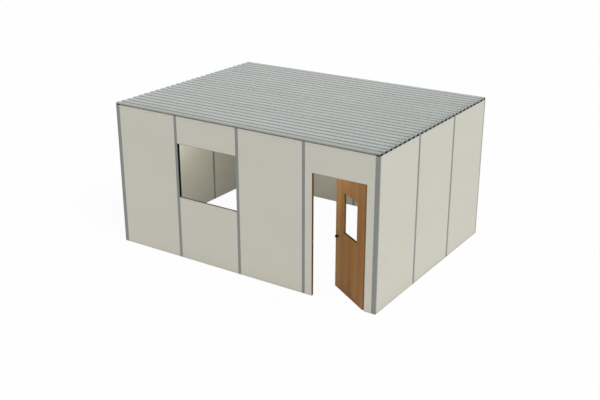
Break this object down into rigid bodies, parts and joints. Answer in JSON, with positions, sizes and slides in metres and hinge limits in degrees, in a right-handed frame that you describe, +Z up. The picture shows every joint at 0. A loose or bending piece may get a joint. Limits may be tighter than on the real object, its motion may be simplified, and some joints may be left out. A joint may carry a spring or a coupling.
{
  "type": "modular in-plant office",
  "caption": "Single-storey modular office building of slotted wall panels between steel posts, with a glazed window, an inward-swinging glazed door and a fluted steel deck",
  "frame": {"origin": "on the floor under the middle of the building's footprint", "axes": "+X along the front wall to the right as seen from outside the door, +Y from the front wall to the back, +Z up"},
  "size_m": [4.966, 3.657, 2.478],
  "materials": {
    "post": "satin grey powder coat",
    "track": "satin light grey powder coat",
    "panel": "fine-grained vinyl facing, warm off-white",
    "door": "satin brown, vertical grain",
    "door_frame": "satin dark brown",
    "gasket": "matt black",
    "closure": "matt black closed-cell foam",
    "glass": "clear float glass",
    "knob": "satin black",
    "hinge": "brushed",
    "deck": "galvanised steel sheet"
  },
  "bodies": {
    "building": {"corner_post_front_left": "post", "corner_post_front_right": "post", "corner_post_back_left": "post", "corner_post_back_right": "post", "front_stud_1": "post", "front_stud_2": "post", "front_stud_3": "post", "back_studs": "post", "left_studs": "post", "right_studs": "post", "floor_track": "track", "top_track": "track", "front_panel_left": "panel", "window_sill_panel": "panel", "window_head_panel": "panel", "front_panel_middle": "panel", "door_left_panel": "panel", "door_head_panel": "panel", "door_right_panel": "panel", "back_panel_1": "panel", "back_panel_2": "panel", "back_panel_3": "panel", "back_panel_4": "panel", "left_panel_1": "panel", "left_panel_2": "panel", "left_panel_3": "panel", "right_panel_1": "panel", "right_panel_2": "panel", "right_panel_3": "panel", "window_sill": "track", "window_gasket": "gasket", "window_glass": "glass", "door_jamb_left": "door_frame", "door_jamb_right": "door_frame", "door_jamb_head": "door_frame", "hinge_frame_plates": "hinge", "flute_closures": "closure", "roof_sheet_1": "deck", "roof_sheet_2": "deck", "roof_sheet_3": "deck", "roof_sheet_4": "deck"},
    "door": {"door_leaf": "door", "lite_gasket": "gasket", "lite_glass": "glass", "door_knobs": "knob", "hinge_door_plates": "hinge"}
  },
  "joints": [
    {"name": "door_hinge", "type": "hinge", "parent": "building", "child": "door", "pos_m": [2.283, -1.7785, 0], "axis": [0, 0, -1], "range_deg": [-32.3, 57.7]}
  ]
}
